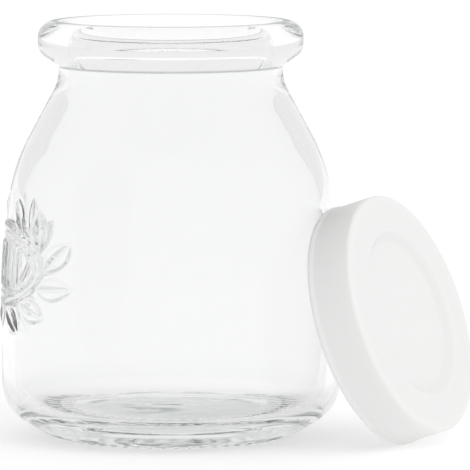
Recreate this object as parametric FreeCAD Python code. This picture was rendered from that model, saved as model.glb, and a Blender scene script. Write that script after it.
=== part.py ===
"""Small glass yogurt jar, empty, with its white plastic cap leaning against it.

The jar is one pressed-glass solid: a rounded bead round the mouth, a short neck, a sloping
shoulder, a body that widens slightly downwards, a soft heel and a pushed-up base.  Low relief
on one side shows a reeded oval between leaves.  The cap is one moulded shell with a recessed
centre panel.  It stands on its open edge and leans on the jar, and nothing holds it there.

Millimetres, +Z up.  Azimuths turn from -Y (the front) towards +X.  Both solids are first made
about the jar's axis and then moved, so that the origin is the bottom centre of their box.
"""

import FreeCAD, Part
import math
import os

V = FreeCAD.Vector

# --- jar, outside: corners of its outline, each rounded by its own radius ---
JAR_HEIGHT = 86.3
BEAD_DIAMETER = 55.0
BEAD_TOP_RADIUS = 3.4
BEAD_LOW_DROP = 6.4  # from the mouth to the corner under the bead
BEAD_LOW_RADIUS = 3.2
NECK_DIAMETER = 46.5
NECK_TOP_DROP = 9.3  # from the mouth to where the bead meets the neck
NECK_TOP_RADIUS = 0.3
NECK_LOW_DROP = 12.4  # from the mouth to where the neck turns into the shoulder
NECK_LOW_RADIUS = 9.2
SHOULDER_DIAMETER = 67.0
SHOULDER_HEIGHT = 54.7
SHOULDER_RADIUS = 41.0
BODY_DIAMETER = 70.3
BODY_HEIGHT = 28.0  # above this the body narrows towards the shoulder
BODY_RADIUS = 300.0
HEEL_HEIGHT = 6.3
HEEL_RADIUS = 8.7
HEEL_RING_WIDTH = 3.0  # shallow rise from the base ring to the heel's slope
HEEL_RING_RISE = 0.5
HEEL_RING_RADIUS = 13.0
BASE_RING_DIAMETER = 45.4
BASE_RING_WIDTH = 2.6
BASE_RING_RADIUS = 1.0
PUSH_UP_HEIGHT = 2.6
PUSH_UP_FLAT_DIAMETER = 26.0
PUSH_UP_RADIUS = 24.0

# --- jar, inside ---
NECK_WALL = 2.0
BODY_WALL = 2.7
LIP_INNER_RADIUS = 1.25
FLOOR_HEIGHT = 5.8  # inside floor where it meets the wall
FLOOR_DOME = 0.9
FLOOR_DOME_FLAT_DIAMETER = 16.0
FLOOR_DOME_RADIUS = 60.0
FLOOR_CORNER_RADIUS = 6.0

# --- raised marks under the base: a ring and a dot ---
MARK_RELIEF = 0.35
MARK_RING_DIAMETER = 4.4
MARK_RING_WIDTH = 0.8
MARK_DOT_DIAMETER = 1.9
MARK_SPACING = 5.0
MARK_CENTRE_X = 1.0

# --- relief on the side: a reeded oval between leaves ---
RELIEF = 0.55
RELIEF_ROOT = 0.8  # how deep the relief's solids reach into the wall
EMBLEM_AZIMUTH = -82.0
EMBLEM_HEIGHT = 36.5
OVAL_WIDTH = 38.0
OVAL_HEIGHT = 17.0
OVAL_BAND = 1.0
OVAL_GAP = 1.1  # between the outer and the inner band
OVAL_INNER_BAND = 0.6
REED_WIDTH = 1.3
REED_PITCH = 2.6
REED_COUNT = 9
REED_MARGIN = 1.6
LEAF_LENGTH = 7.8
LEAF_WIDTH = 4.4
LEAF_VEIN_WIDTH = 0.6
LEAF_GAP = 0.7  # between a leaf's foot and the oval
LEAF_ANGLES = (-76.0, -50.0, -24.0, 0.0, 24.0, 52.0)  # where the feet lie round the oval
LEAF_SWEEP = 50.0  # how far each leaf turns upwards from the oval's own normal

# --- cap ---
CAP_DIAMETER = 50.4
CAP_HEIGHT = 9.9
CAP_EDGE_RADIUS = 1.2
CAP_WALL = 1.2
CAP_ROOF = 1.3
CAP_RIM_WIDTH = 0.3  # how far the rim at the open edge stands out of the skirt
CAP_RIM_HEIGHT = 0.9
CAP_RIM_RADIUS = 0.3
CAP_INNER_EDGE_RADIUS = 1.6
PANEL_DIAMETER = 35.2
PANEL_DEPTH = 1.5
PANEL_SLOPE_WIDTH = 1.8
PANEL_RADIUS = 0.7
SNAP_BEAD_RADIUS = 0.7
SNAP_BEAD_PROUD = 0.45
SNAP_BEAD_HEIGHT = 2.4

# --- how the cap leans ---
CAP_AZIMUTH = 75.0  # where the cap stands, seen from the jar's axis
CAP_FACE_AZIMUTH = 64.0  # where its closed face looks
CAP_TILT = 19.0  # how far its face looks upwards
LEAN_CLEARANCE = 0.1  # left between the cap and the glass
SEAT_TOLERANCE = 1e-4
SHORTEST_EDGE = 1e-6


def line(start, end):
    return Part.LineSegment(V(start[0], 0, start[1]), V(end[0], 0, end[1])).toShape()


def rounding_runs(points, radii):
    """How far each corner's rounding runs along its two sides, limited by what they have."""
    runs = [0.0] * len(points)
    for k in range(1, len(points) - 1):
        back, ahead = points[k - 1] - points[k], points[k + 1] - points[k]
        runs[k] = radii[k] / math.tan(back.getAngle(ahead) / 2)
    for k in range(len(points) - 1):
        length = (points[k + 1] - points[k]).Length
        share = length / max(runs[k] + runs[k + 1], length)
        runs[k] *= share
        runs[k + 1] *= share
    return runs


def outline(corners):
    """Edges in the XZ plane through the corners (r, z, radius), each rounded by its radius."""
    points = [V(r, 0, z) for r, z, radius in corners]
    runs = rounding_runs(points, [corner[2] for corner in corners])
    edges = []
    start = points[0]
    for k in range(1, len(points) - 1):
        back = (points[k - 1] - points[k]).normalize()
        ahead = (points[k + 1] - points[k]).normalize()
        half_angle = back.getAngle(ahead) / 2
        radius = runs[k] * math.tan(half_angle)
        arc_start, arc_end = points[k] + back * runs[k], points[k] + ahead * runs[k]
        bisector = (back + ahead).normalize()
        middle = points[k] + bisector * (radius / math.sin(half_angle) - radius)
        if (arc_start - start).Length > SHORTEST_EDGE:
            edges.append(Part.LineSegment(start, arc_start).toShape())
        edges.append(Part.Arc(arc_start, middle, arc_end).toShape())
        start = arc_end
    if (points[-1] - start).Length > SHORTEST_EDGE:
        edges.append(Part.LineSegment(start, points[-1]).toShape())
    return edges


def turned(edges):
    """The solid turned about Z from edges that make a closed loop."""
    face = Part.Face(Part.Wire(edges))
    solid = face.revolve(V(0, 0, 0), V(0, 0, 1), 360)
    return solid if solid.ShapeType == "Solid" else solid.Solids[0]


def shifted_corner(before, here, after, offset_before, offset_after):
    """Where two runs of an outline meet once each has moved to its left by its offset."""
    first = V(here[0] - before[0], 0, here[1] - before[1]).normalize()
    second = V(after[0] - here[0], 0, after[1] - here[1]).normalize()
    first_start = V(before[0], 0, before[1]) + V(-first.z, 0, first.x) * offset_before
    second_start = V(here[0], 0, here[1]) + V(-second.z, 0, second.x) * offset_after
    across = first.x * second.z - first.z * second.x
    gap = second_start - first_start
    meeting = first_start + first * ((gap.x * second.z - gap.z * second.x) / across)
    return meeting.x, meeting.z


def jar_outside():
    """Corners of the jar's outside, from the crest of the lip down to the centre of the base."""
    bead = BEAD_DIAMETER / 2
    neck = NECK_DIAMETER / 2
    body = BODY_DIAMETER / 2
    ring = BASE_RING_DIAMETER / 2
    return [
        (bead - BEAD_TOP_RADIUS, JAR_HEIGHT, 0),
        (bead, JAR_HEIGHT, BEAD_TOP_RADIUS),
        (bead, JAR_HEIGHT - BEAD_LOW_DROP, BEAD_LOW_RADIUS),
        (neck, JAR_HEIGHT - NECK_TOP_DROP, NECK_TOP_RADIUS),
        (neck, JAR_HEIGHT - NECK_LOW_DROP, NECK_LOW_RADIUS),
        (SHOULDER_DIAMETER / 2, SHOULDER_HEIGHT, SHOULDER_RADIUS),
        (body, BODY_HEIGHT, BODY_RADIUS),
        (body, HEEL_HEIGHT, HEEL_RADIUS),
        (ring + HEEL_RING_WIDTH, HEEL_RING_RISE, HEEL_RING_RADIUS),
        (ring, 0, BASE_RING_RADIUS),
        (ring - BASE_RING_WIDTH, 0, BASE_RING_RADIUS),
        (PUSH_UP_FLAT_DIAMETER / 2, PUSH_UP_HEIGHT, PUSH_UP_RADIUS),
        (0, PUSH_UP_HEIGHT, 0),
    ]


def jar_inside():
    """Corners of the jar's inside, from the centre of the floor up to the crest of the lip."""
    neck, shoulder, body, heel = jar_outside()[4:8]
    bore = neck[0] - NECK_WALL
    above_neck = (neck[0], JAR_HEIGHT)
    neck_in = shifted_corner(above_neck, neck, shoulder, -NECK_WALL, -BODY_WALL)
    shoulder_in = shifted_corner(neck, shoulder, body, -BODY_WALL, -BODY_WALL)
    body_in = shifted_corner(shoulder, body, heel, -BODY_WALL, -BODY_WALL)
    floor_top = FLOOR_HEIGHT + FLOOR_DOME
    return [
        (0, floor_top, 0),
        (FLOOR_DOME_FLAT_DIAMETER / 2, floor_top, FLOOR_DOME_RADIUS),
        (body_in[0], FLOOR_HEIGHT, FLOOR_CORNER_RADIUS),
        (*body_in, BODY_RADIUS - BODY_WALL),
        (*shoulder_in, SHOULDER_RADIUS - BODY_WALL),
        (*neck_in, NECK_LOW_RADIUS + NECK_WALL),
        (bore, JAR_HEIGHT, LIP_INNER_RADIUS),
        (BEAD_DIAMETER / 2 - BEAD_TOP_RADIUS, JAR_HEIGHT, 0),
    ]


def jar_blank():
    """The jar with no relief: its outside and inside outlines closed along the axis."""
    outside = jar_outside()
    inside = jar_inside()
    axis = line(outside[-1], inside[0])
    return turned(outline(outside) + [axis] + outline(inside))


def relief_layer():
    """A ring of glass round the body that the relief is cut from, proud of the wall by RELIEF."""
    neck, shoulder, body, heel = jar_outside()[4:8]
    sides = []
    for offset in (RELIEF, -RELIEF_ROOT):
        slope_top = shifted_corner((0, neck[1]), neck, shoulder, 0, offset)
        shoulder_corner = shifted_corner(neck, shoulder, body, offset, offset)
        body_corner = shifted_corner(shoulder, body, heel, offset, offset)
        sides.append(
            [
                (*slope_top, 0),
                (*shoulder_corner, SHOULDER_RADIUS + offset),
                (*body_corner, BODY_RADIUS + offset),
                (body_corner[0], HEEL_HEIGHT + HEEL_RADIUS, 0),
            ]
        )
    proud, root = sides
    top = line(root[0], proud[0])
    foot = line(proud[-1], root[-1])
    return turned(outline(proud) + [foot] + outline(root[::-1]) + [top])


def emblem_point(u, v):
    """A point of the flat the relief is drawn on, clear of the glass: u to its right, v up."""
    turn = math.radians(EMBLEM_AZIMUTH)
    right = V(math.cos(turn), math.sin(turn), 0)
    out = V(math.sin(turn), -math.cos(turn), 0)
    return right * u + out * (BODY_DIAMETER / 2 + RELIEF + 1) + V(0, 0, EMBLEM_HEIGHT + v)


def straight(start, end):
    return Part.LineSegment(emblem_point(*start), emblem_point(*end)).toShape()


def bow(start, middle, end):
    return Part.Arc(*[emblem_point(*point) for point in (start, middle, end)]).toShape()


def pressed(face):
    """A face of that flat drawn straight towards the jar's axis, as a mould half is drawn."""
    turn = math.radians(EMBLEM_AZIMUTH)
    return face.extrude(V(-math.sin(turn), math.cos(turn), 0) * BODY_DIAMETER / 2)


def oval(inset):
    """The oval's face, smaller all round by inset."""
    side = emblem_point(OVAL_WIDTH / 2 - inset, 0)
    top = emblem_point(0, OVAL_HEIGHT / 2 - inset)
    return Part.Face(Part.Wire(Part.Ellipse(side, top, emblem_point(0, 0)).toShape()))


def oval_bands():
    """The two raised bands round the oval."""
    inner_inset = OVAL_BAND + OVAL_GAP
    outer = oval(0).cut(oval(OVAL_BAND))
    inner = oval(inner_inset).cut(oval(inner_inset + OVAL_INNER_BAND))
    return [pressed(outer), pressed(inner)]


def reeds():
    """Upright round-ended reeds inside the oval, each as tall as the oval leaves room for."""
    inset = OVAL_BAND + OVAL_GAP + OVAL_INNER_BAND + REED_MARGIN
    half_width = OVAL_WIDTH / 2 - inset
    half_height = OVAL_HEIGHT / 2 - inset
    first = -(REED_COUNT - 1) / 2 * REED_PITCH
    bars = []
    for k in range(REED_COUNT):
        u = first + k * REED_PITCH
        if abs(u) < half_width:
            bars.append(pressed(reed(u, half_height * math.sqrt(1 - (u / half_width) ** 2))))
    return bars


def reed(u, half):
    """A bar about u, half long above and below the oval's centre, with round ends beyond."""
    left, right = u - REED_WIDTH / 2, u + REED_WIDTH / 2
    tip = half + REED_WIDTH / 2
    edges = [
        straight((right, -half), (right, half)),
        bow((right, half), (u, tip), (left, half)),
        straight((left, half), (left, -half)),
        bow((left, -half), (u, -tip), (right, -half)),
    ]
    return Part.Face(Part.Wire(edges))


def leaves(side):
    """Leaves along one end of the oval, each in two halves with an open vein between them."""
    halves = []
    for angle in LEAF_ANGLES:
        t = math.radians(angle)
        foot_u, foot_v = OVAL_WIDTH / 2 * math.cos(t), OVAL_HEIGHT / 2 * math.sin(t)
        normal = math.atan2(foot_v / OVAL_HEIGHT**2, foot_u / OVAL_WIDTH**2)
        foot = (foot_u + LEAF_GAP * math.cos(normal), foot_v + LEAF_GAP * math.sin(normal))
        lean = normal + math.radians(LEAF_SWEEP)
        for flank in (1, -1):
            halves.append(pressed(leaf_half(side, foot, lean, flank)))
    return halves


def leaf_half(side, foot, lean, flank):
    """Half a pointed leaf that grows from its foot along lean, on one flank of its vein."""

    def at(along, across):
        u = foot[0] + along * math.cos(lean) - flank * across * math.sin(lean)
        v = foot[1] + along * math.sin(lean) + flank * across * math.cos(lean)
        return side * u, v

    heel, tip = at(0, LEAF_VEIN_WIDTH / 2), at(LEAF_LENGTH, LEAF_VEIN_WIDTH / 2)
    belly = at(LEAF_LENGTH / 2, LEAF_WIDTH / 2)
    return Part.Face(Part.Wire([straight(heel, tip), bow(tip, belly, heel)]))


def emblem():
    """The whole relief: oval bands, reeds and leaves, cut out of the layer round the body."""
    shapes = oval_bands() + reeds() + leaves(1) + leaves(-1)
    return relief_layer().common(Part.makeCompound(shapes))


def base_marks():
    """A small ring and a dot that stand down from the underside of the base."""
    top = PUSH_UP_HEIGHT + MARK_RELIEF
    low = V(MARK_CENTRE_X + MARK_SPACING / 2, 0, PUSH_UP_HEIGHT - MARK_RELIEF)
    height = top - low.z
    ring = Part.makeCylinder(MARK_RING_DIAMETER / 2, height, low)
    ring = ring.cut(Part.makeCylinder(MARK_RING_DIAMETER / 2 - MARK_RING_WIDTH, height, low))
    dot = Part.makeCylinder(MARK_DOT_DIAMETER / 2, height, low - V(MARK_SPACING, 0, 0))
    return [ring, dot]


def jar():
    return jar_blank().fuse([emblem()] + base_marks())


def cap_shell():
    """The cap with its open edge at z = 0 and its closed face up."""
    skirt = CAP_DIAMETER / 2
    rim = skirt + CAP_RIM_WIDTH
    bore = skirt - CAP_WALL
    panel = PANEL_DIAMETER / 2
    panel_floor = CAP_HEIGHT - PANEL_DEPTH
    outside = [
        (bore, 0, 0),
        (rim, 0, CAP_RIM_RADIUS),
        (rim, CAP_RIM_HEIGHT, CAP_RIM_RADIUS / 2),
        (skirt, CAP_RIM_HEIGHT, CAP_RIM_WIDTH / 3),
        (skirt, CAP_HEIGHT, CAP_EDGE_RADIUS),
        (panel, CAP_HEIGHT, PANEL_RADIUS),
        (panel - PANEL_SLOPE_WIDTH, panel_floor, PANEL_RADIUS),
        (0, panel_floor, 0),
    ]
    slope_in = shifted_corner(outside[4], outside[5], outside[6], CAP_ROOF, CAP_ROOF)
    foot_in = shifted_corner(outside[5], outside[6], outside[7], CAP_ROOF, CAP_ROOF)
    inside = [
        (0, panel_floor - CAP_ROOF, 0),
        (foot_in[0], panel_floor - CAP_ROOF, PANEL_RADIUS),
        (slope_in[0], CAP_HEIGHT - CAP_ROOF, PANEL_RADIUS),
        (bore, CAP_HEIGHT - CAP_ROOF, CAP_INNER_EDGE_RADIUS),
        (bore, 0, 0),
    ]
    shell = turned(outline(outside) + [line(outside[-1], inside[0])] + outline(inside))
    bead_centre = bore + SNAP_BEAD_RADIUS - SNAP_BEAD_PROUD
    bead = Part.makeTorus(bead_centre, SNAP_BEAD_RADIUS, V(0, 0, SNAP_BEAD_HEIGHT))
    return shell.fuse(bead)


def cap_axes():
    """The cap's own directions: out of its closed face, level across it, and up along it."""
    turn = math.radians(CAP_FACE_AZIMUTH)
    tilt = math.radians(CAP_TILT)
    face = V(math.sin(turn) * math.cos(tilt), -math.cos(turn) * math.cos(tilt), math.sin(tilt))
    across = V(math.cos(turn), math.sin(turn), 0)
    return face, across, face.cross(across)


def rim_circle(centre):
    """Points along the middle of the rounded rim, which is what meets the floor and the jar."""
    face, across, up = cap_axes()
    radius = CAP_DIAMETER / 2 + CAP_RIM_WIDTH - CAP_RIM_RADIUS
    middle = centre + face * CAP_RIM_RADIUS
    turns = [math.radians(degrees) for degrees in range(0, 360, 2)]
    return [middle + (across * math.cos(t) + up * math.sin(t)) * radius for t in turns]


def cap_centre():
    """The centre of the cap's open edge, standing on the floor and leaning on the glass."""
    glass = Part.Face(Part.Wire(outline(jar_outside()) + glass_core()))
    height = CAP_RIM_RADIUS - min(point.z for point in rim_circle(V(0, 0, 0)))
    turn = math.radians(CAP_AZIMUTH)

    def centre_at(distance):
        return V(math.sin(turn) * distance, -math.cos(turn) * distance, height)

    def touches(distance):
        reach = CAP_RIM_RADIUS + LEAN_CLEARANCE
        spots = [Part.Vertex(math.hypot(p.x, p.y), 0, p.z) for p in rim_circle(centre_at(distance))]
        return any(spot.distToShape(glass)[0] < reach for spot in spots)

    near = BODY_DIAMETER / 2
    far = BODY_DIAMETER / 2 + CAP_DIAMETER
    while far - near > SEAT_TOLERANCE:
        middle = (near + far) / 2
        if touches(middle):
            near = middle
        else:
            far = middle
    return centre_at(far)


def glass_core():
    """Edges that close the jar's outside along its axis, for the test of what touches it."""
    crest, foot = jar_outside()[0], jar_outside()[-1]
    return [line(foot, (0, crest[1])), line((0, crest[1]), crest)]


def cap():
    """The cap in its leaning place."""
    face, across, up = cap_axes()
    centre = cap_centre()
    placement = FreeCAD.Placement()
    placement.Matrix = FreeCAD.Matrix(
        across.x, up.x, face.x, centre.x,
        across.y, up.y, face.y, centre.y,
        across.z, up.z, face.z, centre.z,
        0, 0, 0, 1,
    )  # fmt: skip
    shape = cap_shell()
    shape.Placement = placement
    return shape


def main():
    os.makedirs("parts", exist_ok=True)
    solids = {"jar": jar(), "cap": cap()}
    box = FreeCAD.BoundBox()
    for solid in solids.values():
        box.add(solid.optimalBoundingBox(False, False))
    home = V(-(box.XMin + box.XMax) / 2, -(box.YMin + box.YMax) / 2, -box.ZMin)
    for name, solid in solids.items():
        solid.translate(home)
        solid.exportStep(f"parts/{name}.step")
        print(name, len(solid.Solids), solid.isValid(), round(solid.Volume), solid.BoundBox)
    print("jar axis at", round(home.x, 3), round(home.y, 3))


main()
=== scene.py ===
import math

import bpy
from mathutils import Matrix, Vector, noise


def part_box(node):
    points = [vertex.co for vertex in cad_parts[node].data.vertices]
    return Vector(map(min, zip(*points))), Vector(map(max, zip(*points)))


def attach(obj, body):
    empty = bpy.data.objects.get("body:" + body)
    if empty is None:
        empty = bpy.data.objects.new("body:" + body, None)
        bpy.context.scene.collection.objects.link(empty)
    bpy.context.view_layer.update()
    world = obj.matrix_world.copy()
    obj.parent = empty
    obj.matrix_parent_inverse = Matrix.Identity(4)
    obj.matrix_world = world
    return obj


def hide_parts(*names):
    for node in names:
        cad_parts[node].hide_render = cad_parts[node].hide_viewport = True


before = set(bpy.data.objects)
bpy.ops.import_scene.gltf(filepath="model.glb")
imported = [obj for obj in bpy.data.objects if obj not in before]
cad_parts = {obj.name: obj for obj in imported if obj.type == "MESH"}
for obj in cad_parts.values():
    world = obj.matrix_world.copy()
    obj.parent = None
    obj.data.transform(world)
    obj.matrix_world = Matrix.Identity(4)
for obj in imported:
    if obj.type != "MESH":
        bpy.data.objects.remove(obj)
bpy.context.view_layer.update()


# --- The jar's blank: one gob of clear soda glass, blown in a mould. The bead round the mouth is
# solid, the wall is 2.7 mm, and the base is pushed up inside a narrow ring that it stands on.
# It is an outline drawn vertex by vertex and spun round the jar's axis.

MM = 0.001  # sizes are given in millimetres, and the model is in metres
JAR_HEIGHT = 86.3
LIP_CREST_RADIUS = 24.1
BEAD_RADIUS = 27.5
NECK_RADIUS = 23.25
MOUTH_RADIUS = 21.25
BODY_RADIUS = 35.15
BODY_WALL = 2.7
INSIDE_RADIUS = BODY_RADIUS - BODY_WALL
BASE_RING_RADIUS = 22.7
PUSH_UP_HEIGHT = 2.6
MARKED_RADIUS = 5.6  # the middle of the push-up, divided finely for the marks on it
FLOOR_TOP = 6.7
FLOOR_MIDDLE = 2.0
JAR_OUTSIDE = [  # corners from the crest of the lip down to the base: radius, height, rounding
    (LIP_CREST_RADIUS, JAR_HEIGHT, 0),
    (BEAD_RADIUS, JAR_HEIGHT, 3.4),
    (BEAD_RADIUS, 79.9, 3.2),
    (NECK_RADIUS, 77.0, 0.3),
    (NECK_RADIUS, 73.9, 9.2),
    (33.5, 54.7, 41.0),
    (BODY_RADIUS, 28.0, 300.0),
    (BODY_RADIUS, 6.3, 8.7),
    (25.7, 0.5, 13.0),
    (BASE_RING_RADIUS, 0, 1.0),
    (20.1, 0, 1.0),
    (13.0, PUSH_UP_HEIGHT, 24.0),
    (MARKED_RADIUS, PUSH_UP_HEIGHT, 0),
]
JAR_INSIDE = [  # corners from the middle of the floor up to the crest of the lip
    (FLOOR_MIDDLE, FLOOR_TOP, 0),
    (8.0, FLOOR_TOP, 60.0),
    (INSIDE_RADIUS, 5.8, 6.0),
    (INSIDE_RADIUS, 27.9, 297.3),
    (30.85, 54.1, 38.3),
    (MOUTH_RADIUS, 72.4, 11.2),
    (MOUTH_RADIUS, JAR_HEIGHT, 1.25),
    (LIP_CREST_RADIUS, JAR_HEIGHT, 0),
]
OUTSIDE_STEP = 1.0  # the longest step along each part of the outline
MARKED_STEP = 0.25
INSIDE_STEP = 2.2
FLOOR_STEP = 1.0
ARC_STEP = 6  # degrees
JAR_SPIN_STEPS = 216
WELD = 1e-7  # metres
SLACK = 1e-6  # keeps a rounding error from adding a step


def rounded_outline(corners, longest):
    """Points (radius, height) along the corners, with arcs at the roundings and short steps."""
    points = [Vector(corners[0][:2])]
    for before, here, after in zip(corners, corners[1:], corners[2:]):
        corner = Vector(here[:2])
        rounding = here[2]
        back = (Vector(before[:2]) - corner).normalized()
        ahead = (Vector(after[:2]) - corner).normalized()
        half = back.angle(ahead) / 2
        middle = (back + ahead).normalized()
        centre = corner + middle * (rounding / math.sin(half))
        sweep = math.pi - 2 * half
        turn = math.copysign(sweep, -back.cross(ahead))
        arm = corner + back * (rounding / math.tan(half)) - centre
        by_angle = math.ceil(math.degrees(sweep) / ARC_STEP)
        steps = max(2, by_angle, math.ceil(rounding * sweep / longest))
        for k in range(steps + 1):
            spoke = arm.copy()
            spoke.rotate(Matrix.Rotation(turn * k / steps, 2))
            reach_point(points, centre + spoke, longest)
    reach_point(points, Vector(corners[-1][:2]), longest)
    return points


def reach_point(points, target, longest):
    """Adds target to points, and evenly spaced points on the way if it is far."""
    start = points[-1]
    run = (target - start).length
    if run < WELD / MM:
        return
    pieces = math.ceil(run / longest - SLACK)
    for k in range(1, pieces + 1):
        points.append(start.lerp(target, k / pieces))


def spaced(start, end, step):
    """Points on a level run, from start to end, step apart."""
    count = round(abs(end[0] - start[0]) / step)
    return [Vector(start).lerp(Vector(end), k / count) for k in range(count + 1)]


def turned_piece(name, points, steps):
    """A closed solid of revolution: a vertex is extruded along the outline and spun round Z."""
    bpy.ops.object.select_all(action="DESELECT")
    bpy.ops.mesh.primitive_circle_add(vertices=3, radius=MM)
    piece = bpy.context.object
    piece.name = name
    piece.data.name = name
    bpy.ops.object.mode_set(mode="EDIT")
    bpy.ops.mesh.select_mode(type="VERT")
    bpy.ops.mesh.select_all(action="SELECT")
    bpy.ops.mesh.merge(type="CENTER")
    first = points[0] * MM
    bpy.ops.transform.translate(value=(first.x, 0, first.y))
    for start, end in zip(points, points[1:]):
        step = (end - start) * MM
        bpy.ops.mesh.extrude_vertices_move(TRANSFORM_OT_translate={"value": (step.x, 0, step.y)})
    bpy.ops.mesh.select_all(action="SELECT")
    bpy.ops.mesh.spin(steps=steps, angle=2 * math.pi, center=(0, 0, 0), axis=(0, 0, 1))
    bpy.ops.mesh.select_all(action="SELECT")
    bpy.ops.mesh.remove_doubles(threshold=WELD)
    bpy.ops.mesh.normals_make_consistent(inside=False)
    bpy.ops.object.mode_set(mode="OBJECT")
    bpy.ops.object.shade_smooth()
    return piece


outside = rounded_outline(JAR_OUTSIDE, OUTSIDE_STEP)
base_middle = spaced((MARKED_RADIUS, PUSH_UP_HEIGHT), (0, PUSH_UP_HEIGHT), MARKED_STEP)
inside = rounded_outline(JAR_INSIDE, INSIDE_STEP)
floor_middle = spaced((0, FLOOR_TOP), (FLOOR_MIDDLE, FLOOR_TOP), FLOOR_STEP)
jar_outline = floor_middle[:-1] + inside[:-1] + outside + base_middle[1:]
jar = turned_piece("jar_glass", jar_outline, JAR_SPIN_STEPS)


# --- The relief on the jar's side: a reeded oval between laurel leaves, 0.45 mm proud, cut into
# one half of the mould and so drawn straight out of it. The patch of wall under it is divided
# finely, and its vertices are raised where the pattern is.

RELIEF = 0.45
RELIEF_FLANK = 1.15
EMBLEM_AZIMUTH = math.radians(-82)  # from the front towards +X
EMBLEM_HEIGHT = 36.5
OVAL_HALF = (19.0, 8.5)
OVAL_BAND = 1.0
OVAL_GAP = 1.1
OVAL_INNER_BAND = 0.6
REED_WIDTH = 1.3
REED_PITCH = 2.6
REED_COUNT = 9
REED_MARGIN = 1.6
LEAF_LENGTH = 7.8
LEAF_WIDTH = 4.4
LEAF_VEIN_WIDTH = 0.6
LEAF_GAP = 0.7
LEAF_ANGLES = (-76, -50, -24, 0, 24, 52)
LEAF_SWEEP = math.radians(50)
PATCH_HALF_WIDTH = 29.0
PATCH_HALF_HEIGHT = 15.5
PATCH_MARGIN = 1.0
PATCH_CUTS = 3
BODY_LOW = 15  # the heights between which the body's outside radius is looked up
BODY_HIGH = 60
BODY_STEP = 0.1


def oval_distance(u, v, inset):
    """Distance outside (+) or inside (-) the oval that is inset from the main one."""
    a, b = OVAL_HALF[0] - inset, OVAL_HALF[1] - inset
    near = math.hypot(u / a, v / b)
    slope = math.hypot(u / a**2, v / b**2)
    return near * (near - 1) / slope if slope > 0 else -b


def band_distance(u, v, inset, width):
    """Distance to the band of a width whose outer edge is the inset oval."""
    return abs(oval_distance(u, v, inset + width / 2)) - width / 2


def reed_distance(u, v):
    """Distance to the nearest of the upright reeds inside the oval."""
    inset = OVAL_BAND + OVAL_GAP + OVAL_INNER_BAND + REED_MARGIN
    half_width, half_height = OVAL_HALF[0] - inset, OVAL_HALF[1] - inset
    first = -(REED_COUNT - 1) / 2
    k = min(max(round(u / REED_PITCH - first), 0), REED_COUNT - 1)
    centre = (first + k) * REED_PITCH
    half = half_height * math.sqrt(1 - (centre / half_width) ** 2)
    return math.hypot(u - centre, max(abs(v) - half, 0)) - REED_WIDTH / 2


def leaf_places():
    """Foot and direction of each leaf on one side of the oval."""
    places = []
    for degrees in LEAF_ANGLES:
        t = math.radians(degrees)
        u, v = OVAL_HALF[0] * math.cos(t), OVAL_HALF[1] * math.sin(t)
        normal = math.atan2(v / OVAL_HALF[1] ** 2, u / OVAL_HALF[0] ** 2)
        foot = (u + LEAF_GAP * math.cos(normal), v + LEAF_GAP * math.sin(normal))
        places.append((foot, normal + LEAF_SWEEP))
    return places


LEAVES = leaf_places()


def leaf_distance(u, v):
    """Distance to the nearest leaf, with its open vein, on either side."""
    nearest = PATCH_HALF_WIDTH
    for (foot_u, foot_v), lean in LEAVES:
        along = (abs(u) - foot_u) * math.cos(lean) + (v - foot_v) * math.sin(lean)
        across = abs((v - foot_v) * math.cos(lean) - (abs(u) - foot_u) * math.sin(lean))
        share = along / LEAF_LENGTH
        width = LEAF_WIDTH / 2 * 4 * share * (1 - share)
        edge = (across - width) / math.hypot(1, 2 * LEAF_WIDTH / LEAF_LENGTH * (1 - 2 * share))
        vein = LEAF_VEIN_WIDTH / 2 - across
        nearest = min(nearest, max(edge, vein))
    return nearest


def smooth_share(value):
    """0 below 0, 1 above 1, and a smooth rise between."""
    value = min(max(value, 0), 1)
    return value * value * (3 - 2 * value)


def relief_height(u, v):
    """How proud the relief stands at a point of its flat, in millimetres."""
    distance = min(
        band_distance(u, v, 0, OVAL_BAND),
        band_distance(u, v, OVAL_BAND + OVAL_GAP, OVAL_INNER_BAND),
        reed_distance(u, v),
        leaf_distance(u, v),
    )
    return RELIEF * smooth_share(0.5 - distance / RELIEF_FLANK)


def emblem_place(x, y, z):
    """A point about the jar's axis, as u and v of the relief's flat and its depth outwards."""
    u = x * math.cos(EMBLEM_AZIMUTH) + y * math.sin(EMBLEM_AZIMUTH)
    depth = x * math.sin(EMBLEM_AZIMUTH) - y * math.cos(EMBLEM_AZIMUTH)
    return u / MM, z / MM - EMBLEM_HEIGHT, depth / MM


def select_faces(piece, wanted):
    """Enters edit mode with only the wanted faces selected."""
    bpy.ops.object.mode_set(mode="EDIT")
    bpy.ops.mesh.select_mode(type="FACE")
    bpy.ops.mesh.select_all(action="DESELECT")
    bpy.ops.object.mode_set(mode="OBJECT")
    for face in piece.data.polygons:
        face.select = wanted(face)
    bpy.ops.object.mode_set(mode="EDIT")


def in_patch(face):
    """Whether a face of the jar's outside lies in the patch that carries the relief."""
    u, v, depth = emblem_place(*face.center)
    outer = face.normal.dot(Vector((face.center.x, face.center.y, 0))) > 0
    return outer and depth > 0 and abs(u) < PATCH_HALF_WIDTH and abs(v) < PATCH_HALF_HEIGHT


def outside_radius(height):
    """The jar's outside radius at a height on its body, and the body's own beyond it."""
    for low, high in zip(BODY_OUTSIDE[1:], BODY_OUTSIDE):
        if low.y <= height <= high.y:
            return low.x + (high.x - low.x) * (height - low.y) / (high.y - low.y)
    return BODY_RADIUS


def paint(piece, name, values):
    """Keeps one number per vertex, by its index, for the shader to read."""
    layer = piece.data.attributes.new(name, "FLOAT", "POINT")
    for index, value in values.items():
        layer.data[index].value = value


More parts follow.
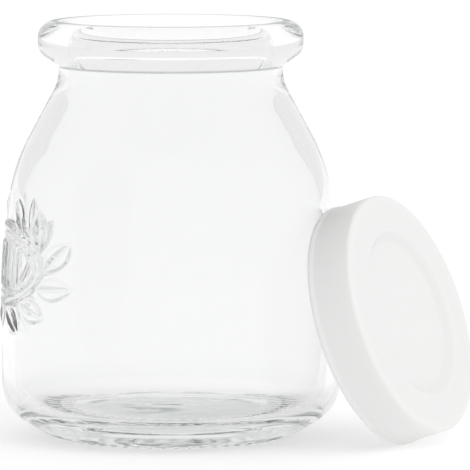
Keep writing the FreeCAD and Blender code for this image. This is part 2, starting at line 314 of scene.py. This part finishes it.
fine_outside = rounded_outline(JAR_OUTSIDE, BODY_STEP)
BODY_OUTSIDE = [point for point in fine_outside if BODY_LOW < point.y < BODY_HIGH]
select_faces(jar, in_patch)
bpy.ops.mesh.subdivide(number_cuts=PATCH_CUTS)
bpy.ops.object.mode_set(mode="OBJECT")
flanks = {}
for vertex in jar.data.vertices:
    x, y, z = vertex.co
    u, v, depth = emblem_place(x, y, z)
    inner = math.hypot(x, y) / MM < outside_radius(z / MM) - BODY_WALL / 2
    beside = abs(u) > PATCH_HALF_WIDTH + PATCH_MARGIN or abs(v) > PATCH_HALF_HEIGHT + PATCH_MARGIN
    if inner or depth < 0 or beside:
        continue
    height = relief_height(u, v)
    scale = (outside_radius(z / MM) + height) * MM / math.hypot(x, y)
    vertex.co = (x * scale, y * scale, z)
    flanks[vertex.index] = 4 * height / RELIEF * (1 - height / RELIEF)
paint(jar, "relief_flank", flanks)


# --- The base ring's knurl: short radial ridges that keep the hot glass off the belt it cools
# on. Only the ring's circles are divided, and the grooves between the ridges are raised.

STEPS_PER_RIDGE = 4
KNURL_RIDGES = JAR_SPIN_STEPS // STEPS_PER_RIDGE
KNURL_DEPTH = 0.5
KNURL_INNER = 21.6
KNURL_OUTER = 26.0
KNURL_FADE = 0.8
KNURL_MARGIN = 1.0
KNURL_TOP = 2.0  # no circle of the ring lies higher
KNURL_CUTS = 3


def in_knurl(radius, z):
    """Whether a point this far from the axis, in millimetres, and this high is on the ring."""
    return z <= KNURL_TOP * MM and KNURL_INNER - KNURL_MARGIN < radius < KNURL_OUTER + KNURL_MARGIN


bpy.ops.object.mode_set(mode="EDIT")
bpy.ops.mesh.select_mode(type="EDGE")
bpy.ops.mesh.select_all(action="DESELECT")
bpy.ops.object.mode_set(mode="OBJECT")
for edge in jar.data.edges:
    a, b = [jar.data.vertices[k].co for k in edge.vertices]
    radius = math.hypot(a.x, a.y) / MM
    level = abs(a.z - b.z) < WELD and abs(radius - math.hypot(b.x, b.y) / MM) < WELD / MM
    edge.select = level and in_knurl(radius, a.z)
bpy.ops.object.mode_set(mode="EDIT")
bpy.ops.mesh.subdivide(number_cuts=KNURL_CUTS)
bpy.ops.object.mode_set(mode="OBJECT")
grooves = {}
for vertex in jar.data.vertices:
    x, y, z = vertex.co
    radius = math.hypot(x, y) / MM
    if not in_knurl(radius, z):
        continue
    window = smooth_share((radius - KNURL_INNER) / KNURL_FADE)
    window *= smooth_share((KNURL_OUTER - radius) / KNURL_FADE)
    wave = 0.5 - 0.5 * math.cos(math.atan2(y, x) * KNURL_RIDGES)
    vertex.co.z += KNURL_DEPTH * MM * window * wave
    grooves[vertex.index] = window * wave
paint(jar, "knurl_groove", grooves)


# --- The marks under the base: a small ring and a dot of soda glass, left by hollows in the
# mould's bottom plate. The vertices in the middle of the push-up are lowered where they are.

MARK_RELIEF = 0.35
MARK_FLANK = 0.3
MARK_RING_RADIUS = 1.8
MARK_RING_WIDTH = 0.8
MARK_DOT_RADIUS = 0.95
MARK_SPACING = 5.0
MARK_CENTRE_X = 1.0
MARK_REACH = 0.5  # above and below the push-up, which leaves the floor over it alone

marks = {}
for vertex in jar.data.vertices:
    x, y, z = [part / MM for part in vertex.co]
    if abs(z - PUSH_UP_HEIGHT) > MARK_REACH or math.hypot(x, y) > MARKED_RADIUS:
        continue
    ring = abs(math.hypot(x - MARK_CENTRE_X - MARK_SPACING / 2, y) - MARK_RING_RADIUS)
    dot = math.hypot(x - MARK_CENTRE_X + MARK_SPACING / 2, y) - MARK_DOT_RADIUS
    distance = min(ring - MARK_RING_WIDTH / 2, dot)
    height = smooth_share(0.5 - distance / MARK_FLANK)
    vertex.co.z -= MARK_RELIEF * MM * height
    marks[vertex.index] = height
paint(jar, "base_mark", marks)


# --- The waver of the wall: blown soda glass is never quite even. The inner face moves in and out
# by less than 0.1 mm from over the floor up to the bead, and above 60 mm the outer face does too.

WAVER = 0.10
WAVER_SIZE = 22.0
WAVER_LOW = 12
WAVER_LOW_FADE = 10
WAVER_HIGH = 80
WAVER_HIGH_FADE = 12
WAVER_RADIUS = 33  # it reaches no further from the axis

for vertex in jar.data.vertices:
    x, y, z = [part / MM for part in vertex.co]
    radius = math.hypot(x, y)
    if not WAVER_LOW < z < WAVER_HIGH or radius >= WAVER_RADIUS:
        continue
    if radius >= outside_radius(z) - BODY_WALL / 2:
        continue
    fade = smooth_share((z - WAVER_LOW) / WAVER_LOW_FADE)
    fade *= smooth_share((WAVER_HIGH - z) / WAVER_HIGH_FADE)
    lift = noise.noise(Vector((x, y, z)) / WAVER_SIZE) * WAVER * fade
    vertex.co.x *= 1 + lift / radius
    vertex.co.y *= 1 + lift / radius


# The jar's axis lies one body radius inside the right side of its CAD box, half-way in depth.
jar_low, jar_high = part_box("jar")
JAR_AXIS = Vector((jar_high.x - BODY_RADIUS * MM, (jar_low.y + jar_high.y) / 2, jar_low.z))
jar.location = JAR_AXIS
bpy.ops.object.select_all(action="DESELECT")
jar.select_set(True)
bpy.context.view_layer.objects.active = jar
bpy.ops.object.transform_apply(location=True, rotation=True, scale=True)


# --- The glass: clear soda glass with the faint green of its iron, as it comes from the mould.
# It is a little rough under the base. Its colour is painted darker as shade where sight grazes it,
# on the flanks of the relief, along the crease under the bead and in a pool under the base, where
# the floor's shadow shows through. Thin dark lines of painted shade at the lip's crest and the
# heel, streaks of it under the base and a painted contact shadow at the foot are laid on it in an
# opaque grey.

GLASS_IOR = 1.28
GLASS_TINT = (0.55, 0.66, 0.62)
GLASS_DENSITY = 1.5
GLASS_CLEAR = (0.948, 0.953, 0.950)
# painted shade: the glass's colour darkens towards this where sight grazes it, for the dark edges
# refraction draws
GLASS_EDGE_SHADE = (0.40, 0.49, 0.45)
GLASS_EDGE_POWER = 14.0
EDGE_BELOW_BEAD = 0.25  # the share of it that is left there
EDGE_LOST_AT_BASE = 0.8
# painted shade on the flanks of the relief
FLANK_SHADE_TINT = (0.55, 0.57, 0.56)
FLANK_SHARE = 0.15
FROST_WHITE = (0.93, 0.95, 0.94)
FROST_SHARE = 0.25
# painted shade under the base: the floor's shadow seen through the push-up
POOL_SHADE_TINT = (0.73, 0.80, 0.76)
BASE_ROUGHNESS = 0.09
# painted shade along the crease under the bead
CREASE_SHADE_TINT = (0.45, 0.48, 0.47)
# the opaque grey of painted shade lines at the lip's crest, the heel and under the base, and of a
# painted contact shadow at the foot; then how much of it each takes
SHADE_LINE_GREY = (0.17, 0.21, 0.19)
CREST_SHARE = 0.35
CREST_BACK_SHARE = 0.35  # added to it at the back
FOOT_SHARE = 0.55
GROOVE_SHARE = 0.3
HEEL_SHARE = 0.7
STREAK_SHADE_SHARE = 0.5
# the heights and the distances from the axis between which each of them fades in or out
UNDERSIDE_TOP = (3.0, 3.6)
BASE_TOP = (6.2, 9.0)
BASE_MIDDLE = (8.0, 14.0)
BEAD_FOOT = (76.5, 78.0)
CREASE_LOW, CREASE_HIGH = (76.6, 76.9), (77.1, 77.4)
CREASE_INNER = (22.4, 22.6)
CREST_INNER, CREST_OUTER = (23.0, 23.5), (24.6, 25.0)
CREST_LOW = (85.0, 85.6)
CREST_BACK = (-10.0, 15.0)  # from the axis towards the back
FOOT_TOP = (0.2, 0.5)
RIM_INNER = (23.2, 23.6)
HEEL_LOW, HEEL_HIGH = (0.6, 0.8), (1.4, 1.8)
# the painted shade pool and the painted shade streaks have middles of their own, given to the right
# of the axis and behind it
POOL_MIDDLE = (3.4, 0)
POOL_EDGE = (19.0, 22.5)
STREAK_SHADE_MIDDLE = (-3.0, -8.0)
STREAK_SHADE_EDGE = (4.0, 9.0)


class Socket:
    """A shader socket that takes Python arithmetic; each operation adds a Math node."""

    def __init__(self, shader, socket):
        self.shader = shader
        self.socket = socket

    def math(self, operation, first, second):
        node = self.shader.node("ShaderNodeMath", {"operation": operation}, {0: first, 1: second})
        return self.shader.out(node)

    def __add__(self, other):
        return self.math("ADD", self, other)

    def __radd__(self, other):
        return self.math("ADD", other, self)

    def __sub__(self, other):
        return self.math("SUBTRACT", self, other)

    def __rsub__(self, other):
        return self.math("SUBTRACT", other, self)

    def __mul__(self, other):
        return self.math("MULTIPLY", self, other)

    def __rmul__(self, other):
        return self.math("MULTIPLY", other, self)

    def __pow__(self, other):
        return self.math("POWER", self, other)


class Shader:
    """A material and its nodes."""

    def __init__(self, name):
        self.material = bpy.data.materials.new(name)
        self.material.use_nodes = True
        self.tree = self.material.node_tree
        self.tree.nodes.clear()

    def node(self, kind, settings=None, sockets=None):
        """Adds a node: its settings first, then the values or links of its sockets."""
        node = self.tree.nodes.new(kind)
        for key, value in (settings or {}).items():
            if key == "stops":
                for stop, (position, colour) in zip(stops_of(node, len(value)), value):
                    stop.position = position
                    stop.color = colour
            else:
                setattr(node, key, value)
        for key, value in (sockets or {}).items():
            if isinstance(value, Socket):
                self.tree.links.new(value.socket, node.inputs[key])
            else:
                node.inputs[key].default_value = value
        return node

    def out(self, node, name=0):
        return Socket(self, node.outputs[name])

    def attribute(self, name):
        return self.out(self.node("ShaderNodeAttribute", {"attribute_name": name}), "Fac")

    def blend(self, share, low, high):
        """A Mix Shader node between two shader nodes."""
        shaders = {0: share, 1: self.out(low), 2: self.out(high)}
        return self.node("ShaderNodeMixShader", None, shaders)

    def distance(self, place, middle=(0, 0)):
        """Level distance of a Separate XYZ node's place from a middle, given from the axis."""
        across = self.out(place, "X") - (JAR_AXIS.x + middle[0] * MM)
        deep = self.out(place, "Y") - (JAR_AXIS.y + middle[1] * MM)
        return (across * across + deep * deep) ** 0.5

    def fade(self, value, ends):
        """1 below the first of two ends in millimetres, 0 above the other, smooth between."""
        start, end = [place * MM for place in ends]
        limits = {"Value": value, "From Min": start, "From Max": end, "To Min": 1.0, "To Max": 0.0}
        node = self.node("ShaderNodeMapRange", {"interpolation_type": "SMOOTHSTEP"}, limits)
        return self.out(node)

    def band(self, value, low, high):
        """1 between two pairs of ends, and 0 outside them."""
        return (1 - self.fade(value, low)) * self.fade(value, high)

    def ramp(self, value, stops):
        node = self.node("ShaderNodeValToRGB", {"stops": stops}, {"Fac": value})
        return self.out(node)

    def mix(self, share, low, high):
        """A colour between low and high, each of them a socket or an RGB triple."""
        low, high = [c if isinstance(c, Socket) else (*c, 1) for c in (low, high)]
        node = self.node("ShaderNodeMix", {"data_type": "RGBA"}, {0: share, 6: low, 7: high})
        return self.out(node, 2)


def stops_of(ramp_node, count):
    """The stops of a ramp, with as many added as are wanted."""
    stops = ramp_node.color_ramp.elements
    while len(stops) < count:
        stops.new(1.0)
    return stops


def ripple_bump(shader, place):
    """The soft unevenness of the glass's face."""
    ripple = shader.out(
        shader.node("ShaderNodeTexNoise", None, {"Vector": place, "Scale": 70.0, "Detail": 1.0})
    )
    return shader.out(
        shader.node(
            "ShaderNodeBump", None, {"Height": ripple, "Strength": 0.06, "Distance": 0.0004}
        )
    )


def streak_noise(shader, place):
    """Noise drawn out from side to side, which breaks up the painted shade and the painted shade
    lines of the base.
    """
    streaked = shader.node("ShaderNodeMapping", None, {"Vector": place, "Scale": (1.0, 3.0, 1.0)})
    return shader.out(
        shader.node(
            "ShaderNodeTexNoise",
            None,
            {"Vector": shader.out(streaked), "Scale": 70.0, "Detail": 3.0, "Distortion": 1.5},
        )
    )


def painted_shade_lines(shader, spot, pool, streaks):
    """How much of the opaque grey shows: painted shade at the crest of the lip, the heel and the
    base, and a painted contact shadow at the foot.
    """
    height = shader.out(spot, "Z")
    from_axis = shader.distance(spot)
    shade_streaks = shader.ramp(streaks, ((0.46, (0, 0, 0, 1)), (0.56, (1, 1, 1, 1))))
    axis_depth = JAR_AXIS.y / MM
    back_ends = [axis_depth + end for end in CREST_BACK]
    back = 1 - shader.fade(shader.out(spot, "Y"), back_ends)
    crest = shader.band(from_axis, CREST_INNER, CREST_OUTER) * (1 - shader.fade(height, CREST_LOW))
    rim = 1 - shader.fade(from_axis, RIM_INNER)
    groove = shader.attribute("knurl_groove") * GROOVE_SHARE
    # a painted contact shadow along the foot, deeper in the grooves between its ridges
    foot = rim * (shader.fade(height, FOOT_TOP) * FOOT_SHARE + groove)
    heel = shader.band(height, HEEL_LOW, HEEL_HIGH) * rim * shade_streaks * HEEL_SHARE
    dark = shader.fade(shader.distance(spot, STREAK_SHADE_MIDDLE), STREAK_SHADE_EDGE)
    streak_shade = pool * dark * shade_streaks * STREAK_SHADE_SHARE
    return crest * (CREST_SHARE + CREST_BACK_SHARE * back) + foot + heel + streak_shade


def glass_material():
    shader = Shader("clear_glass")
    place = shader.out(shader.node("ShaderNodeTexCoord"), "Object")
    spot = shader.node("ShaderNodeSeparateXYZ", None, {"Vector": place})
    height = shader.out(spot, "Z")
    from_axis = shader.distance(spot)
    facing = shader.out(shader.node("ShaderNodeLayerWeight", None, {"Blend": 0.5}), "Facing")
    streaks = streak_noise(shader, place)
    unmarked = 1 - shader.attribute("base_mark")
    flank = shader.attribute("relief_flank")

    base = shader.fade(height, BASE_TOP)
    bead = 1 - shader.fade(height, BEAD_FOOT)
    underside = shader.fade(height, UNDERSIDE_TOP)
    # a pool of painted shade under the base, broken up in streaky patches, for the floor's shadow
    # seen through it
    pool = shader.fade(shader.distance(spot, POOL_MIDDLE), POOL_EDGE) * underside
    patches = shader.ramp(streaks, ((0.30, (0.15, 0.15, 0.15, 1)), (0.62, (1, 1, 1, 1))))
    clear = shader.mix(base + bead, GLASS_CLEAR, (1.0, 1.0, 1.0))
    colour = shader.mix(pool * unmarked * patches, clear, POOL_SHADE_TINT)
    # painted shade where sight grazes the glass, full on the bead, weaker below it and weakest at
    # the base
    edge = facing**GLASS_EDGE_POWER * (EDGE_BELOW_BEAD + (1 - EDGE_BELOW_BEAD) * bead)
    edge = edge * (1 - EDGE_LOST_AT_BASE * base)
    # the flanks of the relief take a share of painted shade
    colour = shader.mix(flank * FLANK_SHARE, shader.mix(edge, colour, GLASS_EDGE_SHADE), FLANK_SHADE_TINT)
    # a line of painted shade along the crease under the bead
    crease = shader.band(height, CREASE_LOW, CREASE_HIGH)
    crease = crease * (1 - shader.fade(from_axis, CREASE_INNER))
    colour = shader.mix(crease, colour, CREASE_SHADE_TINT)
    rough = underside * (1 - shader.fade(from_axis, BASE_MIDDLE)) * BASE_ROUGHNESS

    body = shader.node(
        "ShaderNodeBsdfPrincipled",
        None,
        {
            "Base Color": colour,
            "Roughness": rough,
            "IOR": GLASS_IOR,
            "Transmission Weight": 1.0,
            "Normal": ripple_bump(shader, place),
        },
    )
    # a share of matt white on the flanks of the relief keeps them from looking black
    frost = shader.node(
        "ShaderNodeBsdfPrincipled", None, {"Base Color": (*FROST_WHITE, 1), "Roughness": 0.6}
    )
    # the opaque grey of the painted shade and the painted contact shadow
    line = shader.node(
        "ShaderNodeBsdfPrincipled",
        None,
        {"Base Color": (*SHADE_LINE_GREY, 1), "Roughness": 0.5, "IOR": GLASS_IOR},
    )
    tint = shader.node(
        "ShaderNodeVolumeAbsorption", None, {"Color": (*GLASS_TINT, 1), "Density": GLASS_DENSITY}
    )
    surface = shader.blend(flank * FROST_SHARE, body, frost)
    # the painted shade lines and the painted contact shadow go over the glass in that grey
    surface = shader.blend(painted_shade_lines(shader, spot, pool, streaks) * unmarked, surface, line)
    shader.node(
        "ShaderNodeOutputMaterial",
        None,
        {"Surface": shader.out(surface), "Volume": shader.out(tint)},
    )
    return shader.material


jar.data.materials.clear()
jar.data.materials.append(glass_material())
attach(jar, "root")
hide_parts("jar")


# --- The cap: one shell of white polyethylene with a rim round its open edge and a sunk panel
# in its face. It stands on its rim and leans on the jar. It is spun upright, then turned.

CAP_RADIUS = 25.2
CAP_HEIGHT = 9.9
CAP_BORE = 24.0
CAP_ROOF = 1.3
CAP_RIM_RADIUS = 25.5
CAP_RIM_HEIGHT = 0.9
CAP_RIM_ROUNDING = 0.3
SNAP_RIB_HEIGHT = 2.4
SNAP_RIB_HALF_WIDTH = 0.7
SNAP_RIB_DEPTH = 0.45
PANEL_RADIUS = 17.6
PANEL_SLOPE = 1.8
PANEL_DEPTH = 1.5
PANEL_FLOOR = CAP_HEIGHT - PANEL_DEPTH
ROOF_STEP = 0.5  # how far the roof's inner step lies outside the panel's edge
CAP_FACE_AZIMUTH = math.radians(64)
CAP_TILT = math.radians(19)
CAP_OUTLINE = [  # from the middle of the roof inside, round the rim, to the middle of the panel
    (0, PANEL_FLOOR - CAP_ROOF, 0),
    (PANEL_RADIUS - PANEL_SLOPE + ROOF_STEP, PANEL_FLOOR - CAP_ROOF, 0.7),
    (PANEL_RADIUS + ROOF_STEP, CAP_HEIGHT - CAP_ROOF, 0.7),
    (CAP_BORE, CAP_HEIGHT - CAP_ROOF, 1.6),
    (CAP_BORE, SNAP_RIB_HEIGHT + SNAP_RIB_HALF_WIDTH, 0.4),
    (CAP_BORE - SNAP_RIB_DEPTH, SNAP_RIB_HEIGHT, 0.5),
    (CAP_BORE, SNAP_RIB_HEIGHT - SNAP_RIB_HALF_WIDTH, 0.4),
    (CAP_BORE, 0, 0.2),
    (CAP_RIM_RADIUS, 0, CAP_RIM_ROUNDING),
    (CAP_RIM_RADIUS, CAP_RIM_HEIGHT - 0.3, 0.25),
    (CAP_RADIUS, CAP_RIM_HEIGHT + 0.4, 0.4),
    (CAP_RADIUS, CAP_HEIGHT, 0.9),
    (PANEL_RADIUS, CAP_HEIGHT, 0.9),
    (PANEL_RADIUS - PANEL_SLOPE, PANEL_FLOOR, 0.9),
    (0, PANEL_FLOOR, 0),
]
CAP_STEP = 1.5
CAP_SPIN_STEPS = 192

cap = turned_piece("cap_shell", rounded_outline(CAP_OUTLINE, CAP_STEP), CAP_SPIN_STEPS)
face = Vector(
    (
        math.sin(CAP_FACE_AZIMUTH) * math.cos(CAP_TILT),
        -math.cos(CAP_FACE_AZIMUTH) * math.cos(CAP_TILT),
        math.sin(CAP_TILT),
    )
)
across = Vector((math.cos(CAP_FACE_AZIMUTH), math.sin(CAP_FACE_AZIMUTH), 0))
up = face.cross(across)
# The rim is a round ring, so the CAD box's left, back and lowest sides give where it lies.
cap_low, cap_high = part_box("cap")
ring = (CAP_RIM_RADIUS - CAP_RIM_ROUNDING) * MM
ring_centre = Vector(
    (
        cap_low.x + ring * math.sqrt(1 - face.x**2) + CAP_RIM_ROUNDING * MM,
        cap_high.y - ring * math.sqrt(1 - face.y**2) - CAP_RIM_ROUNDING * MM,
        cap_low.z + ring * math.sqrt(1 - face.z**2) + CAP_RIM_ROUNDING * MM,
    )
)
cap_centre = ring_centre - face * CAP_RIM_ROUNDING * MM
cap.matrix_world = Matrix.Translation(cap_centre) @ Matrix((across, up, face)).transposed().to_4x4()
bpy.ops.object.transform_apply(location=True, rotation=True, scale=True)

CAP_WHITE = (0.805, 0.805, 0.795)
CAP_ROUGHNESS = 0.36
CAP_ROUGHNESS_SWING = 0.12


def cap_material():
    shader = Shader("white_polyethylene")
    place = shader.out(shader.node("ShaderNodeTexCoord"), "Object")
    cloud = shader.out(
        shader.node("ShaderNodeTexNoise", None, {"Vector": place, "Scale": 60.0, "Detail": 3.0})
    )
    grain = shader.out(
        shader.node("ShaderNodeTexNoise", None, {"Vector": place, "Scale": 2600.0, "Detail": 2.0})
    )
    bump = shader.out(
        shader.node("ShaderNodeBump", None, {"Height": grain, "Strength": 0.12, "Distance": 0.0001})
    )
    body = shader.node(
        "ShaderNodeBsdfPrincipled",
        None,
        {
            "Base Color": (*CAP_WHITE, 1),
            "Roughness": CAP_ROUGHNESS + cloud * CAP_ROUGHNESS_SWING,
            "IOR": 1.5,
            "Subsurface Weight": 0.35,
            "Subsurface Radius": (0.004, 0.0036, 0.0032),
            "Subsurface Scale": 1.0,
            "Normal": bump,
        },
    )
    shader.node("ShaderNodeOutputMaterial", None, {"Surface": shader.out(body)})
    return shader.material


cap.data.materials.clear()
cap.data.materials.append(cap_material())
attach(cap, "root")
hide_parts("cap")


# --- The floor, the lights and the camera: white paper under an even white sky, with one soft
# box above and in front of the part to the right. None of it belongs to the part, and its sizes
# are in metres.

FLOOR_SIZE = 12.0
FLOOR_WHITE = (0.48, 0.48, 0.48)
FLOOR_GLOW = 0.55
FLOOR_GAP = 0.00005

bpy.ops.object.select_all(action="DESELECT")
bpy.ops.mesh.primitive_plane_add(size=FLOOR_SIZE, location=(0, 0, cap_low.z - FLOOR_GAP))
floor = bpy.context.object
floor.name = "floor"
floor_shader = Shader("white_paper")
paper = floor_shader.node(
    "ShaderNodeBsdfPrincipled",
    None,
    {
        "Base Color": (*FLOOR_WHITE, 1),
        "Roughness": 0.9,
        "Emission Color": (1, 1, 1, 1),
        "Emission Strength": FLOOR_GLOW,
    },
)
floor_shader.node("ShaderNodeOutputMaterial", None, {"Surface": floor_shader.out(paper)})
floor.data.materials.append(floor_shader.material)

SKY_STRENGTH = 0.86
world = bpy.data.worlds.new("studio")
bpy.context.scene.world = world
world.use_nodes = True
world.node_tree.nodes["Background"].inputs["Color"].default_value = (1, 1, 1, 1)
world.node_tree.nodes["Background"].inputs["Strength"].default_value = SKY_STRENGTH

# the glass neither mirrors the soft box nor shows it, so it leaves no white spot on the jar
KEY_PLACE = Vector((1.3, -1.2, 1.7))
KEY_SIZE = 2.0
KEY_ENERGY = 13.5
bpy.ops.object.light_add(type="AREA", location=KEY_PLACE)
key = bpy.context.object
key.name = "soft_box"
key.data.shape = "DISK"
key.data.size = KEY_SIZE
key.data.energy = KEY_ENERGY
key.visible_glossy = False
key.visible_transmission = False
key.rotation_euler = (-KEY_PLACE).to_track_quat("-Z", "Y").to_euler()

CAMERA_DISTANCE = 1.138
CAMERA_HEIGHT = 0.1509
CAMERA_RIGHT = 0.01328  # right of the jar's axis
CAMERA_PITCH = math.radians(5.48)
CAMERA_LENS = 422.0
bpy.ops.object.camera_add(
    location=(JAR_AXIS.x + CAMERA_RIGHT, JAR_AXIS.y - CAMERA_DISTANCE, CAMERA_HEIGHT),
    rotation=(math.pi / 2 - CAMERA_PITCH, 0, 0),
)
camera = bpy.context.object
camera.data.lens = CAMERA_LENS
camera.data.sensor_width = 36.0
camera.data.clip_start = 0.05
camera.data.clip_end = 50.0
bpy.context.scene.camera = camera
bpy.context.scene.view_settings.view_transform = "Standard"
bpy.context.scene.cycles.max_bounces = 48
bpy.context.scene.cycles.transmission_bounces = 48
bpy.context.scene.cycles.glossy_bounces = 32

bpy.context.view_layer.update()
